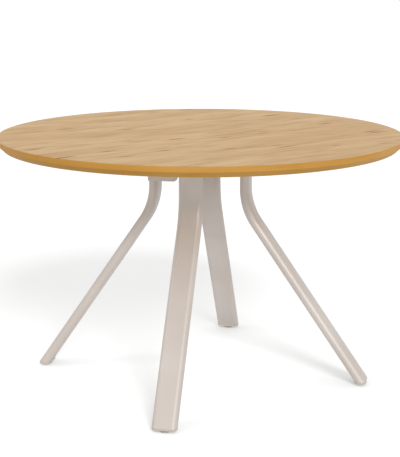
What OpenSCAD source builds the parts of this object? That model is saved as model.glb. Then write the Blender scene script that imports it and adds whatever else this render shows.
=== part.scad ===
// Round dining table on four splayed legs of bent flat-oval steel tube.
// Millimetres. The origin is on the floor under the centre of the top, +Z up.
// The legs stand on the X and Y axes: right +X, back +Y, left -X, front -Y.

/* [Table top] */
// Height of the top surface above the floor
table_h = 750; // [700:1:780]
// Diameter of the top
top_d = 1200; // [1100:5:1300]
// Total thickness of the top
top_t = 31; // [28:1:38]
// Height of the upright part of the edge
edge_upright = 16; // [12:1:20]
// How far the bevel under the edge runs in
bevel_in = 16; // [8:1:20]
// Width of the lipping glued round the core
lipping_w = 24; // [22:1:40]
// Thickness of the decor laminate
laminate_t = 0.8; // [0.6:0.1:1.2]
// Thickness of the balancing sheet underneath
backing_t = 0.8; // [0.6:0.1:1.2]
// Width of the small chamfer round the upper edge
arris = 0.6; // [0.2:0.1:1]

/* [Legs] */
// Distance from the centre to the axis of a leg's upright head
leg_head_r = 138.5; // [130:0.5:150]
// Length of the upright head above the bend
leg_head_l = 93; // [80:1:120]
// Radius of the bend, on the axis of the tube
bend_r = 187; // [150:1:230]
// Angle of the lower leg from upright
leg_splay = 34.5; // [28:0.5:36]
// Width of the flat-oval tube
tube_w = 72; // [64:1:80]
// Thickness of the flat-oval tube
tube_t = 29; // [27:0.5:34]
// Wall of the flat-oval tube
tube_wall = 2; // [1.5:0.1:2.5]
// How much the tube swells on each side where it is bent
bend_swell = 0.15; // [0.1:0.05:0.3]
// Thickness of the plate welded on a leg's head
leg_plate_t = 5; // [4:0.5:8]
// Length of that plate, out from the centre
leg_plate_l = 102; // [98:1:106]

/* [Under-frame] */
// Length of a crossbar from end to end
bar_l = 700; // [640:5:760]
// Width of a crossbar
bar_w = 60; // [50:1:66]
// Height of a crossbar
bar_h = 30; // [25:1:34]
// Wall of a crossbar
bar_wall = 2; // [1.5:0.1:2.5]
// Outer corner radius of a crossbar
bar_corner = 3; // [2.6:0.1:4]
// Side of the square plate welded under the crossing
centre_plate_w = 100; // [90:1:104]
// Thickness of that plate
centre_plate_t = 4; // [3:0.5:6]
// Thickness of an end cap's face
cap_face_t = 3; // [2:0.5:5]
// How far an end cap's plug goes in
cap_plug_l = 12; // [8:1:20]

/* [Fasteners] */
// Thread diameter of the leg bolts
bolt_d = 8; // [7:0.5:9]
// Shank length of the leg bolts
bolt_l = 20; // [18:1:24]
// Width across flats of the leg bolts and their nuts
bolt_af = 13; // [12:0.5:15]
// Height of a leg bolt's head
bolt_head_h = 5.3; // [4:0.1:6.5]
// Height of a weld nut
nut_h = 6.5; // [5:0.5:8]
// Distance of a leg bolt from the leg's axis
bolt_out = 36; // [32:0.5:38]
// Thread diameter of the screws that hold the top
screw_d = 6; // [5:0.5:6.5]
// Shank length of those screws
screw_l = 44; // [42:1:46]
// Diameter of a screw head
screw_head_d = 12; // [10:0.5:13]
// Height of a screw head
screw_head_h = 4; // [3:0.5:5]
// Outer diameter of a washer under a bolt
bolt_washer_d = 16; // [15:0.5:18]
// Outer diameter of a washer under a screw
screw_washer_d = 18; // [14:0.5:20]
// Thickness of the washers
washer_t = 1.6; // [1:0.1:2]
// Outer diameter of a threaded insert in the core
insert_d = 10; // [9:0.5:12]
// Length of a threaded insert in the core
insert_l = 13; // [10:1:16]
// Radius of the inner ring of top screws
screw_ring_in = 235; // [205:5:260]
// Distance from the inner to the outer ring of top screws
screw_ring_step = 80; // [30:5:95]

/* [Leg ends] */
// Height of the leg end's plug rim above the floor
rim_z = 7.2; // [5.5:0.1:8]
// Height of the plug's rim
rim_h = 6; // [4:0.5:9]
// Height of the plug's core inside the tube
plug_core_h = 20; // [17:1:24]
// Outer diameter of the threaded bush in the plug
bush_d = 12; // [11:0.5:13]
// Length of the threaded bush
bush_l = 14; // [12:1:15]
// Diameter of the glide's pad
pad_d = 26; // [24:1:30]
// Thickness of the glide's pad
pad_t = 5; // [4.5:0.1:5]
// Diameter of the glide's threaded stud
stud_d = 8; // [6:0.5:8.5]
// Length of the stud above the pad
stud_l = 21; // [20:0.5:22]
// Diameter of the stud's flat head inside the pad
stud_head_d = 16; // [13:0.5:18]
// Thickness of the stud's flat head
stud_head_t = 1.8; // [1.2:0.1:2]

/* [Bracket on the left leg] */
// Thickness of the bracket's sheet
bracket_t = 3; // [2:0.5:4]
// How far the bracket's cheek hangs below the crossbar
bracket_drop = 82; // [68:1:95]
// Radius of the cheek's rounded lower corner
bracket_corner = 15; // [5:1:25]
// How far the cheek reaches in from the leg's axis
bracket_reach = 77.5; // [75:0.5:79]
// Width of the tab that lies under the crossbar
bracket_tab_w = 22; // [20:0.5:24]
// Length of that tab across the crossbar
bracket_tab_l = 34; // [30:1:40]
// Height of the lower cheek screw above the cheek's lowest edge
bracket_screw_up = 30; // [22:1:34]
// Distance between the two cheek screws
bracket_screw_gap = 26; // [16:1:30]

/* [Clearances] */
// Gap round pieces that fit inside others
fit_gap = 0.1; // [0.05:0.05:0.2]
// Radial gap of a thread in its nut, insert or bush
thread_gap = 0.05; // [0.02:0.01:0.1]
// Radial gap of a shank in a drilled hole
hole_gap = 0.4; // [0.3:0.1:0.8]
// Gap round the stud's head inside the pad
swivel_gap = 0.3; // [0.2:0.1:0.4]

/* [Hidden] */
$fn = 96;
eps = 0.01;
cut = 1;
big = 2 * top_d;

// Small sizes: corners, plug walls, screw ends and the inside of the pad
plate_corner = 5;
cap_plug_wall = 2;
cap_plug_corner = 2;
insert_spare = 2;
tab_screw_edge = 3;
bracket_screw_l = 16;
bracket_head_h = 3.3;
pad_chamfer = 0.8;
pad_floor_t = 1.4;
tap_depth = 1;
bar_corner_ease = 0.5;

RIGHT = 0;
BACK = 90;
LEFT = 180;
FRONT = 270;
TURNS = [RIGHT, BACK, LEFT, FRONT];

OAK = [0.80, 0.69, 0.51];
HONEY = [0.79, 0.58, 0.29];
CORE = [0.72, 0.60, 0.44];
SHEET = [0.90, 0.88, 0.84];
PAINT = [0.81, 0.77, 0.73];
ZINC = [0.76, 0.77, 0.78];
BRASS = [0.80, 0.66, 0.36];
CAP = [0.28, 0.27, 0.26];
PAD = [0.70, 0.67, 0.62];

top_r = top_d / 2;
under_z = table_h - top_t;
core_low_z = under_z + backing_t;
core_high_z = table_h - laminate_t;
core_r = top_r - lipping_w;
bevel_r = top_r - bevel_in;
bevel_high_z = table_h - edge_upright;

bar_low_z = under_z - bar_h;
bar_corner_in = bar_corner - bar_wall + bar_corner_ease;
short_bar_l = (bar_l - bar_w) / 2;
screw_rings = [screw_ring_in, screw_ring_in + screw_ring_step];

leg_high_z = bar_low_z - leg_plate_t;
bend_high_z = leg_high_z - leg_head_l;
bend_low_z = bend_high_z - bend_r * sin(leg_splay);
bend_low_r = leg_head_r + bend_r * (1 - cos(leg_splay));
leg_low_z = rim_z + rim_h;
glide_r = axis_r(leg_low_z);
bush_z = rim_z;
stud_high_z = pad_t + stud_l;
bolt_seat_z = leg_high_z - washer_t;
screw_seat_z = bar_low_z - washer_t;
insert_hole_l = insert_l + insert_spare;

cheek_y = tube_w / 2 + fit_gap;
cheek_out_r = leg_head_r + tube_t / 2;
bracket_low_z = bar_low_z - bracket_drop;
bracket_in_r = leg_head_r - bracket_reach;
tab_mid_r = bracket_in_r + bracket_tab_w / 2;
tab_screw_y = cheek_y + bracket_t - bracket_tab_l + screw_head_d / 2 + tab_screw_edge;
cheek_screw_z = [bracket_low_z + bracket_screw_up, bracket_low_z + bracket_screw_up + bracket_screw_gap];

// Radius of the lower leg's axis at a height
function axis_r(z) = bend_low_r + (bend_low_z - z) * tan(leg_splay);

// Turns a piece drawn on the +X side to one of the four legs
module on_side(turn) {
    rotate([0, 0, turn]) children();
}

// Puts children at every top screw
module at_top_screws(z) {
    for (turn = TURNS, r = screw_rings)
        on_side(turn) translate([r, 0, z]) children();
}

// Puts children at the two bolts of one leg
module at_leg_bolts(z) {
    for (side = [-1, 1])
        translate([leg_head_r + side * bolt_out, 0, z]) children();
}

// Flat-oval outline, thin along X and wide along Y
module flat_oval(thick, wide) {
    square([thick, wide - thick], center = true);
    for (side = [-1, 1])
        translate([0, side * (wide - thick) / 2]) circle(d = thick);
}

// Rectangle with round corners
module round_rect(x, y, r) {
    square([x, y - 2 * r], center = true);
    square([x - 2 * r, y], center = true);
    for (sx = [-1, 1], sy = [-1, 1])
        translate([sx * (x / 2 - r), sy * (y / 2 - r)]) circle(r = r);
}

// The straight lower leg as a solid bar between two heights
module lower_leg(thick, wide, low_z, high_z) {
    run = (bend_low_z - low_z) / cos(leg_splay) + thick;
    intersection() {
        translate([bend_low_r, 0, bend_low_z])
            rotate([0, 180 - leg_splay, 0])
                linear_extrude(height = run) flat_oval(thick, wide);
        translate([-big / 2, -big / 2, low_z]) cube([big, big, high_z - low_z]);
    }
}

// The whole bent leg as a solid bar, wider in the bend by the swell on each side
module leg_bar(thick, wide, swell, low_z, high_z) {
    translate([leg_head_r, 0, bend_high_z])
        linear_extrude(height = high_z - bend_high_z) flat_oval(thick, wide);
    translate([leg_head_r + bend_r, 0, bend_high_z])
        rotate([90, 0, 0]) rotate([0, 0, 180])
            rotate_extrude(angle = leg_splay)
                translate([bend_r, 0]) flat_oval(thick + 2 * swell, wide + 2 * swell);
    lower_leg(thick, wide, low_z, bend_low_z + thick);
}

// One bent leg tube on the +X side, open at both ends
module leg_tube() {
    difference() {
        leg_bar(tube_t, tube_w, bend_swell, leg_low_z, leg_high_z);
        leg_bar(
            tube_t - 2 * tube_wall, tube_w - 2 * tube_wall, -bend_swell,
            leg_low_z - cut, leg_high_z + cut
        );
    }
}

// Plate welded on a leg's head, with two bolt holes
module leg_plate() {
    difference() {
        translate([leg_head_r, 0, leg_high_z])
            linear_extrude(height = leg_plate_t) round_rect(leg_plate_l, tube_w, plate_corner);
        at_leg_bolts(leg_high_z - cut) cylinder(d = bolt_d + 2 * hole_gap, h = leg_plate_t + 2 * cut);
    }
}

// Rectangular tube drawn along +X from x = 0
module bar_tube(length) {
    rotate([90, 0, 90]) linear_extrude(height = length) difference() {
        round_rect(bar_w, bar_h, bar_corner);
        round_rect(bar_w - 2 * bar_wall, bar_h - 2 * bar_wall, bar_corner_in);
    }
}

// Screw and bolt holes through the crossbars
module bar_holes() {
    at_top_screws(bar_low_z - cut) cylinder(d = screw_d + 2 * hole_gap, h = bar_h + 2 * cut);
    for (turn = TURNS)
        on_side(turn) at_leg_bolts(bar_low_z - cut)
            cylinder(d = bolt_d + 2 * hole_gap, h = bar_wall + 2 * cut);
    on_side(LEFT) translate([tab_mid_r, tab_screw_y, bar_low_z - cut])
        cylinder(d = screw_d + 2 * hole_gap, h = bar_wall + 2 * cut);
}

// Short crossbar from the long one out to its end
module short_bar(turn) {
    difference() {
        on_side(turn) translate([bar_w / 2, 0, under_z - bar_h / 2]) bar_tube(short_bar_l);
        bar_holes();
    }
}

// Plastic cap in the open end of a crossbar
module bar_cap() {
    gap = bar_wall + fit_gap;
    inner = gap + cap_plug_wall;
    translate([bar_l / 2, 0, under_z - bar_h / 2]) rotate([90, 0, 90]) {
        linear_extrude(height = cap_face_t) round_rect(bar_w, bar_h, bar_corner);
        translate([0, 0, -cap_plug_l]) linear_extrude(height = cap_plug_l + eps) difference() {
            round_rect(bar_w - 2 * gap, bar_h - 2 * gap, cap_plug_corner);
            round_rect(bar_w - 2 * inner, bar_h - 2 * inner, bar_corner_in);
        }
    }
}

// Hexagon prism of a width across flats
module hexagon(af, h) {
    cylinder(d = af / cos(30), h = h, $fn = 6);
}

// Plastic plug in the open foot of a leg, with its upright rim below the tube
module foot_plug() {
    gap = tube_wall + fit_gap;
    difference() {
        union() {
            translate([glide_r, 0, rim_z])
                linear_extrude(height = rim_h) flat_oval(tube_t / cos(leg_splay), tube_w);
            lower_leg(tube_t - 2 * gap, tube_w - 2 * gap, leg_low_z - eps, leg_low_z + plug_core_h);
        }
        translate([glide_r, 0, bush_z - cut]) cylinder(d = bush_d + 2 * fit_gap, h = bush_l + cut);
        translate([glide_r, 0, bush_z])
            cylinder(d = stud_d + 2 * hole_gap, h = stud_high_z - bush_z + tap_depth);
    }
}

// Threaded stud of a glide, with a flat head held in the pad
module glide_stud() {
    head_z = pad_floor_t + swivel_gap;
    translate([glide_r, 0, head_z]) {
        cylinder(d = stud_head_d, h = stud_head_t);
        cylinder(d = stud_d, h = stud_high_z - head_z);
    }
}

// Plastic pad of a glide, hollow round the stud's head
module glide_pad() {
    pocket_t = stud_head_t + 2 * swivel_gap;
    translate([glide_r, 0, 0]) difference() {
        rotate_extrude() polygon([
            [0, 0],
            [pad_d / 2 - pad_chamfer, 0],
            [pad_d / 2, pad_chamfer],
            [pad_d / 2, pad_t - pad_chamfer],
            [pad_d / 2 - pad_chamfer, pad_t],
            [0, pad_t]
        ]);
        translate([0, 0, pad_floor_t]) cylinder(d = stud_head_d + 2 * swivel_gap, h = pocket_t);
        translate([0, 0, pad_floor_t]) cylinder(d = stud_d + 2 * swivel_gap, h = pad_t);
    }
}

// Top: board core with blind holes for the inserts
module top_core() {
    color(CORE) difference() {
        translate([0, 0, core_low_z]) cylinder(r = core_r, h = core_high_z - core_low_z);
        at_top_screws(core_low_z - cut) cylinder(d = insert_d + 2 * fit_gap, h = insert_hole_l + cut);
    }
}

// Top: decor laminate with its edge chamfered
module top_laminate() {
    color(OAK) translate([0, 0, core_high_z])
        cylinder(r1 = top_r - arris, r2 = top_r - arris - laminate_t / 2, h = laminate_t);
}

// Top: balancing sheet glued underneath
module top_backing() {
    color(SHEET) difference() {
        translate([0, 0, under_z]) cylinder(r = bevel_r, h = backing_t);
        at_top_screws(under_z - cut) cylinder(d = insert_d + 2 * fit_gap, h = backing_t + 2 * cut);
    }
}

// Top: lipping ring with an upright face above and a bevel below
module top_lipping() {
    color(HONEY) rotate_extrude() polygon([
        [core_r, core_low_z],
        [bevel_r, core_low_z],
        [top_r, bevel_high_z],
        [top_r, core_high_z - arris],
        [top_r - arris, core_high_z],
        [core_r, core_high_z]
    ]);
}

// Top: threaded inserts in the core
module top_inserts() {
    color(BRASS) at_top_screws(core_low_z) difference() {
        cylinder(d = insert_d, h = insert_l);
        translate([0, 0, -cut]) cylinder(d = screw_d + 2 * thread_gap, h = insert_l + 2 * cut);
    }
}

// Under-frame: crossbar through the centre, from the left leg to the right
module crossbar_long() {
    color(PAINT) difference() {
        translate([-bar_l / 2, 0, under_z - bar_h / 2]) bar_tube(bar_l);
        bar_holes();
    }
}

// Under-frame: crossbar over the front leg
module crossbar_front() {
    color(PAINT) short_bar(FRONT);
}

// Under-frame: crossbar over the back leg
module crossbar_back() {
    color(PAINT) short_bar(BACK);
}

// Under-frame: square plate welded under the crossing
module centre_plate() {
    color(PAINT) translate([0, 0, bar_low_z - centre_plate_t])
        linear_extrude(height = centre_plate_t) round_rect(centre_plate_w, centre_plate_w, plate_corner);
}

// Under-frame: one cap in each open end
module cap_right() {
    color(CAP) on_side(RIGHT) bar_cap();
}

module cap_back() {
    color(CAP) on_side(BACK) bar_cap();
}

module cap_left() {
    color(CAP) on_side(LEFT) bar_cap();
}

module cap_front() {
    color(CAP) on_side(FRONT) bar_cap();
}

// Legs: head plates
module leg_plate_right() {
    color(PAINT) on_side(RIGHT) leg_plate();
}

module leg_plate_back() {
    color(PAINT) on_side(BACK) leg_plate();
}

module leg_plate_left() {
    color(PAINT) on_side(LEFT) leg_plate();
}

module leg_plate_front() {
    color(PAINT) on_side(FRONT) leg_plate();
}

// Legs: bent tubes
module leg_right() {
    color(PAINT) on_side(RIGHT) leg_tube();
}

module leg_back() {
    color(PAINT) on_side(BACK) leg_tube();
}

// The left leg is drilled for the bracket's screws
module leg_left() {
    color(PAINT) on_side(LEFT) difference() {
        leg_tube();
        for (z = cheek_screw_z)
            translate([leg_head_r, tube_w / 2 - tube_t / 2, z]) rotate([-90, 0, 0])
                cylinder(d = screw_d + 2 * thread_gap, h = tube_t);
    }
}

module leg_front() {
    color(PAINT) on_side(FRONT) leg_tube();
}

// Fasteners: bolts that hold the legs to the crossbars
module leg_bolts() {
    color(ZINC) for (turn = TURNS)
        on_side(turn) at_leg_bolts(bolt_seat_z) {
            translate([0, 0, -bolt_head_h]) hexagon(bolt_af, bolt_head_h);
            translate([0, 0, -eps]) cylinder(d = bolt_d, h = bolt_l + eps);
        }
}

// Fasteners: washers under the leg bolts
module leg_washers() {
    color(ZINC) for (turn = TURNS)
        on_side(turn) at_leg_bolts(bolt_seat_z) difference() {
            cylinder(d = bolt_washer_d, h = washer_t);
            translate([0, 0, -cut]) cylinder(d = bolt_d + 2 * hole_gap, h = washer_t + 2 * cut);
        }
}

// Fasteners: nuts welded inside the crossbars
module leg_nuts() {
    color(ZINC) for (turn = TURNS)
        on_side(turn) at_leg_bolts(bar_low_z + bar_wall) difference() {
            hexagon(bolt_af, nut_h);
            translate([0, 0, -cut]) cylinder(d = bolt_d + 2 * thread_gap, h = nut_h + 2 * cut);
        }
}

// Fasteners: screws up through the crossbars into the inserts
module top_screws() {
    color(ZINC) at_top_screws(screw_seat_z) {
        translate([0, 0, -screw_head_h]) cylinder(d = screw_head_d, h = screw_head_h);
        translate([0, 0, -eps]) cylinder(d = screw_d, h = screw_l + eps);
    }
}

// Fasteners: washers under the top screws
module top_washers() {
    color(ZINC) at_top_screws(screw_seat_z) difference() {
        cylinder(d = screw_washer_d, h = washer_t);
        translate([0, 0, -cut]) cylinder(d = screw_d + 2 * hole_gap, h = washer_t + 2 * cut);
    }
}

// Bracket: cheek beside the left leg's head and a tab under the crossbar
module leg_bracket() {
    cheek_l = cheek_out_r - bracket_in_r;
    cheek_h = bar_low_z - bracket_low_z;
    color(PAINT) on_side(LEFT) difference() {
        union() {
            translate([bracket_in_r, cheek_y + bracket_t, bracket_low_z])
                rotate([90, 0, 0]) linear_extrude(height = bracket_t) {
                    translate([bracket_corner, 0]) square([cheek_l - bracket_corner, cheek_h]);
                    translate([0, bracket_corner]) square([cheek_l, cheek_h - bracket_corner]);
                    translate([bracket_corner, bracket_corner]) circle(r = bracket_corner);
                }
            translate([bracket_in_r, cheek_y + bracket_t - bracket_tab_l, bar_low_z - bracket_t])
                cube([bracket_tab_w, bracket_tab_l, bracket_t]);
        }
        for (z = cheek_screw_z)
            translate([leg_head_r, cheek_y - cut, z]) rotate([-90, 0, 0])
                cylinder(d = screw_d + 2 * hole_gap, h = bracket_t + 2 * cut);
        translate([tab_mid_r, tab_screw_y, bar_low_z - bracket_t - cut])
            cylinder(d = screw_d + 2 * hole_gap, h = bracket_t + 2 * cut);
    }
}

// Bracket: two screws into the leg and one into the crossbar
module bracket_screws() {
    color(ZINC) on_side(LEFT) {
        for (z = cheek_screw_z)
            translate([leg_head_r, cheek_y + bracket_t, z]) rotate([90, 0, 0]) {
                translate([0, 0, -bracket_head_h]) cylinder(d = screw_head_d, h = bracket_head_h);
                translate([0, 0, -eps]) cylinder(d = screw_d, h = bracket_screw_l + eps);
            }
        translate([tab_mid_r, tab_screw_y, bar_low_z - bracket_t]) {
            translate([0, 0, -bracket_head_h]) cylinder(d = screw_head_d, h = bracket_head_h);
            translate([0, 0, -eps]) cylinder(d = screw_d, h = bracket_screw_l + eps);
        }
    }
}

// Leg ends: plugs
module plug_right() {
    color(PAINT) on_side(RIGHT) foot_plug();
}

module plug_back() {
    color(PAINT) on_side(BACK) foot_plug();
}

module plug_left() {
    color(PAINT) on_side(LEFT) foot_plug();
}

module plug_front() {
    color(PAINT) on_side(FRONT) foot_plug();
}

// Leg ends: threaded bushes moulded into the plugs
module plug_bushes() {
    color(BRASS) for (turn = TURNS)
        on_side(turn) translate([glide_r, 0, bush_z]) difference() {
            cylinder(d = bush_d, h = bush_l);
            translate([0, 0, -cut]) cylinder(d = stud_d + 2 * thread_gap, h = bush_l + 2 * cut);
        }
}

// Leg ends: studs
module stud_right() {
    color(ZINC) on_side(RIGHT) glide_stud();
}

module stud_back() {
    color(ZINC) on_side(BACK) glide_stud();
}

module stud_left() {
    color(ZINC) on_side(LEFT) glide_stud();
}

module stud_front() {
    color(ZINC) on_side(FRONT) glide_stud();
}

// Leg ends: pads
module pad_right() {
    color(PAD) on_side(RIGHT) glide_pad();
}

module pad_back() {
    color(PAD) on_side(BACK) glide_pad();
}

module pad_left() {
    color(PAD) on_side(LEFT) glide_pad();
}

module pad_front() {
    color(PAD) on_side(FRONT) glide_pad();
}

top_core();
top_laminate();
top_backing();
top_lipping();
top_inserts();
crossbar_long();
crossbar_front();
crossbar_back();
centre_plate();
cap_right();
cap_back();
cap_left();
cap_front();
leg_plate_right();
leg_plate_back();
leg_plate_left();
leg_plate_front();
leg_right();
leg_back();
leg_left();
leg_front();
leg_bolts();
leg_washers();
leg_nuts();
top_screws();
top_washers();
leg_bracket();
bracket_screws();
plug_right();
plug_back();
plug_left();
plug_front();
plug_bushes();
stud_right();
stud_back();
stud_left();
stud_front();
pad_right();
pad_back();
pad_left();
pad_front();
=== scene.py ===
# Round dining table: a wood-look top with a honey-coloured edge, on four splayed legs of bent tube.
# Metres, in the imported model's frame: the floor is z = 0, +Z is up and the front leg stands on -Y.
import math

import bmesh
import bpy
from mathutils import Matrix, Vector


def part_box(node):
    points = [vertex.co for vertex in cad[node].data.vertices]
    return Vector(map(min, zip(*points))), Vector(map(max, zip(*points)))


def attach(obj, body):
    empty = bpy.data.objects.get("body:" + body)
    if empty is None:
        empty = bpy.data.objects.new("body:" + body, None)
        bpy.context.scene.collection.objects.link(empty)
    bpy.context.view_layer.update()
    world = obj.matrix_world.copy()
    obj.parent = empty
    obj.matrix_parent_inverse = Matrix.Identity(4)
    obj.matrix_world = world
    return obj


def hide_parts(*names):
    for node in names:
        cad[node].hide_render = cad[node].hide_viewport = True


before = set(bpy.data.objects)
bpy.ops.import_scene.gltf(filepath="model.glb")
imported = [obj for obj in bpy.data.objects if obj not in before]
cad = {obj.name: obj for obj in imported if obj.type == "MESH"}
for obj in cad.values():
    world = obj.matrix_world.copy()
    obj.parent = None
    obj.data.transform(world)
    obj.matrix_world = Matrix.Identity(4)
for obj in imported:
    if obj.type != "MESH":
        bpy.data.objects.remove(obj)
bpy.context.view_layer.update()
scene = bpy.context.scene
scene.view_settings.view_transform = "Standard"

# Camera. It stands 3.6 m from the table's axis, a little above the top, and looks 12 degrees down
# and 11 degrees past the front leg, through a long lens that keeps the legs nearly parallel.
CAMERA_DISTANCE = 3.6338
CAMERA_HEIGHT = 1.2615
CAMERA_DIP = math.radians(12.457)
CAMERA_TURN = math.radians(11.306)
CAMERA_LENS = 96.77
CAMERA_SHIFT = -0.00085

camera = bpy.data.objects.new("camera", bpy.data.cameras.new("camera"))
camera.data.lens = CAMERA_LENS
camera.data.shift_x = CAMERA_SHIFT
camera.location = (
    CAMERA_DISTANCE * math.sin(CAMERA_TURN), -CAMERA_DISTANCE * math.cos(CAMERA_TURN), CAMERA_HEIGHT)
camera.rotation_euler = (math.pi / 2 - CAMERA_DIP, 0, CAMERA_TURN)
scene.collection.objects.link(camera)
scene.camera = camera

# Studio floor. A matt white floor that carries the shadows. The camera sees it lit by the floor lamps
# over an even lift, and that lift carries a painted contact shade that dims it a little close to the
# feet; the table gets a plain glow from it instead. From below it can be looked through.
FLOOR_SIZE = 40
FLOOR_TINT = (0.12, 0.12, 0.12, 1)
FLOOR_LIFT = 0.735
FLOOR_BOUNCE = 0.56
CONTACT_REACH = 0.20
CONTACT_SHADE = 0.45
WHITE = (1, 1, 1, 1)
WARM_WHITE = (1, 0.978, 0.95, 1)
SIGNS = {"+": "ADD", "-": "SUBTRACT", "*": "MULTIPLY", "/": "DIVIDE"}


def put(tree, kind, inputs=None, **settings):
    """Adds a node and gives its outputs. Each input is a plain value or another node's output."""
    node = tree.nodes.new(kind)
    for name, value in settings.items():
        setattr(node, name, value)
    for name, value in (inputs or {}).items():
        if isinstance(value, bpy.types.NodeSocket):
            tree.links.new(value, node.inputs[name])
        else:
            node.inputs[name].default_value = value
    return node.outputs


def mix_shaders(tree, factor, first, second):
    """Mixes two shaders by a factor."""
    return put(tree, "ShaderNodeMixShader", {0: factor, 1: first, 2: second})[0]


def calc(tree, step, *values, clamp=False):
    """One step of arithmetic: a sign, or the node's own name of the step."""
    step = SIGNS.get(step, step)
    return put(tree, "ShaderNodeMath", dict(enumerate(values)), operation=step, use_clamp=clamp)[0]


def seen_rays(tree):
    """One for the rays that show the background: to the camera, in gloss and through glass."""
    rays = put(tree, "ShaderNodeLightPath")
    seen = calc(tree, "MAXIMUM", rays["Is Camera Ray"], rays["Is Glossy Ray"])
    return calc(tree, "MAXIMUM", seen, rays["Is Transmission Ray"])


def make_object(name, points, edges, faces, material=None):
    """Makes an object at the origin from points, edges and faces."""
    mesh = bpy.data.meshes.new(name)
    mesh.from_pydata(points, edges, faces)
    if material:
        mesh.materials.append(material)
    made = bpy.data.objects.new(name, mesh)
    scene.collection.objects.link(made)
    return made


floor_finish = bpy.data.materials.new("studio_floor")
floor_finish.use_nodes = True
floor_tree = floor_finish.node_tree
floor_tree.nodes.clear()
floor_side = put(floor_tree, "ShaderNodeNewGeometry")
floor_matt = put(floor_tree, "ShaderNodeBsdfDiffuse", {"Color": FLOOR_TINT})[0]
# Painted contact shade: the even lift is dimmed where ambient occlusion finds the legs and feet close
# by.
floor_open = put(floor_tree, "ShaderNodeAmbientOcclusion", {"Distance": CONTACT_REACH})["AO"]
floor_shade_depth = FLOOR_LIFT * CONTACT_SHADE
floor_level = calc(floor_tree, "MULTIPLY_ADD", floor_open, floor_shade_depth, FLOOR_LIFT - floor_shade_depth)
floor_lift = put(floor_tree, "ShaderNodeEmission", {"Color": WHITE, "Strength": floor_level})[0]
floor_shown = put(floor_tree, "ShaderNodeAddShader", {0: floor_matt, 1: floor_lift})[0]
floor_glow = put(floor_tree, "ShaderNodeEmission", {"Color": WARM_WHITE, "Strength": FLOOR_BOUNCE})[0]
floor_top = mix_shaders(floor_tree, seen_rays(floor_tree), floor_glow, floor_shown)
floor_clear = put(floor_tree, "ShaderNodeBsdfTransparent")[0]
floor_both = mix_shaders(floor_tree, floor_side["Backfacing"], floor_top, floor_clear)
put(floor_tree, "ShaderNodeOutputMaterial", {"Surface": floor_both})

half_floor = FLOOR_SIZE / 2
floor_signs = ((-1, -1), (1, -1), (1, 1), (-1, 1))
floor_corners = [(x * half_floor, y * half_floor, 0) for x, y in floor_signs]
floor = make_object("floor", floor_corners, [], [(0, 1, 2, 3)], floor_finish)

# Studio light. A pale room, a little brighter overhead, one large soft lamp before the table on its
# right and a weak one on its left. Each has a twin that reaches only the floor and draws its shadow.
SKY_OVERHEAD = 0.75
SKY_HORIZON = 0.50
LAMPS = {
    "key": {"turn": 14, "rise": 24, "wide": 13, "power": 1.28},
    "fill": {"turn": -72, "rise": 40, "wide": 24, "power": 0.15},
}
FLOOR_LAMPS = {
    "key": {"turn": 16, "rise": 32, "wide": 18, "power": 11.8},
    "fill": {"turn": -72, "rise": 40, "wide": 20, "power": 2.2},
}

sky = bpy.data.worlds.new("studio")
scene.world = sky
sky.use_nodes = True
sky_tree = sky.node_tree
sky_tree.nodes.clear()
sky_way = put(sky_tree, "ShaderNodeTexCoord")["Generated"]
sky_rise = put(sky_tree, "ShaderNodeSeparateXYZ", {0: sky_way})["Z"]
sky_span = {"Value": sky_rise, "From Max": 1.0, "To Min": SKY_HORIZON, "To Max": SKY_OVERHEAD}
sky_level = put(sky_tree, "ShaderNodeMapRange", sky_span)[0]
sky_light = put(sky_tree, "ShaderNodeBackground", {"Color": WARM_WHITE, "Strength": sky_level})[0]
sky_white = put(sky_tree, "ShaderNodeBackground", {"Color": WHITE, "Strength": 1.0})[0]
sky_both = mix_shaders(sky_tree, seen_rays(sky_tree), sky_light, sky_white)
put(sky_tree, "ShaderNodeOutputWorld", {"Surface": sky_both})


def lit_group(name, link_state):
    """A light group that takes in only the floor, or all but the floor."""
    group = bpy.data.collections.new(name)
    group.objects.link(floor)
    group.collection_objects[0].light_linking.link_state = link_state
    return group


def add_sun(name, lamp, group):
    """A distant soft lamp, turned from the camera's side and raised from the floor."""
    sun = bpy.data.objects.new(name, bpy.data.lights.new(name, "SUN"))
    sun.data.energy = lamp["power"]
    sun.data.angle = math.radians(lamp["wide"])
    sun.light_linking.receiver_collection = group
    turn = math.radians(lamp["turn"]) + CAMERA_TURN
    rise = math.radians(lamp["rise"])
    way = Vector((math.sin(turn) * math.cos(rise), -math.cos(turn) * math.cos(rise), math.sin(rise)))
    sun.rotation_euler = way.to_track_quat("Z", "Y").to_euler()
    scene.collection.objects.link(sun)


floor_only = lit_group("floor_only", "INCLUDE")
floor_not = lit_group("all_but_floor", "EXCLUDE")
for lamp_name, lamp in LAMPS.items():
    add_sun(lamp_name + "_lamp", lamp, floor_not)
for lamp_name, lamp in FLOOR_LAMPS.items():
    add_sun(lamp_name + "_on_floor", lamp, floor_only)

# Top surface. A thin sheet of light oak decor with an embossed grain, pressed on a board core. Its
# grain runs aslant to the legs, with soft bands, fine streaks, pores and short dark flecks.
TOP_STEPS = 256
DISC_MIDDLE = 0.01
EDGE_EASE = 0.0002
GRAIN_TURN = math.radians(48)
OAK_PALE = (219, 185, 136)
OAK_MAIN = (209, 172, 122)
OAK_DARK = (178, 138, 91)
OAK_FLECK = (146, 78, 32)
top_low, top_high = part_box("top_laminate")


def round_of(low, high):
    """The radius of the round shape that a box about the table's axis holds."""
    return min(high.x, high.y, -low.x, -low.y)


def tint(red, green, blue):
    """A colour as it is seen on a screen, from 0 to 255, turned into light."""
    channels = [value / 255 for value in (red, green, blue)]
    light = [((value + 0.055) / 1.055) ** 2.4 for value in channels]
    return (*light, 1)


def fade(tree, value, start, end, low=0.0, high=1.0):
    """A smooth change from low to high while a value goes from start to end."""
    spans = {"Value": value, "From Min": start, "From Max": end, "To Min": low, "To Max": high}
    return put(tree, "ShaderNodeMapRange", spans, interpolation_type="SMOOTHSTEP")[0]


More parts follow.
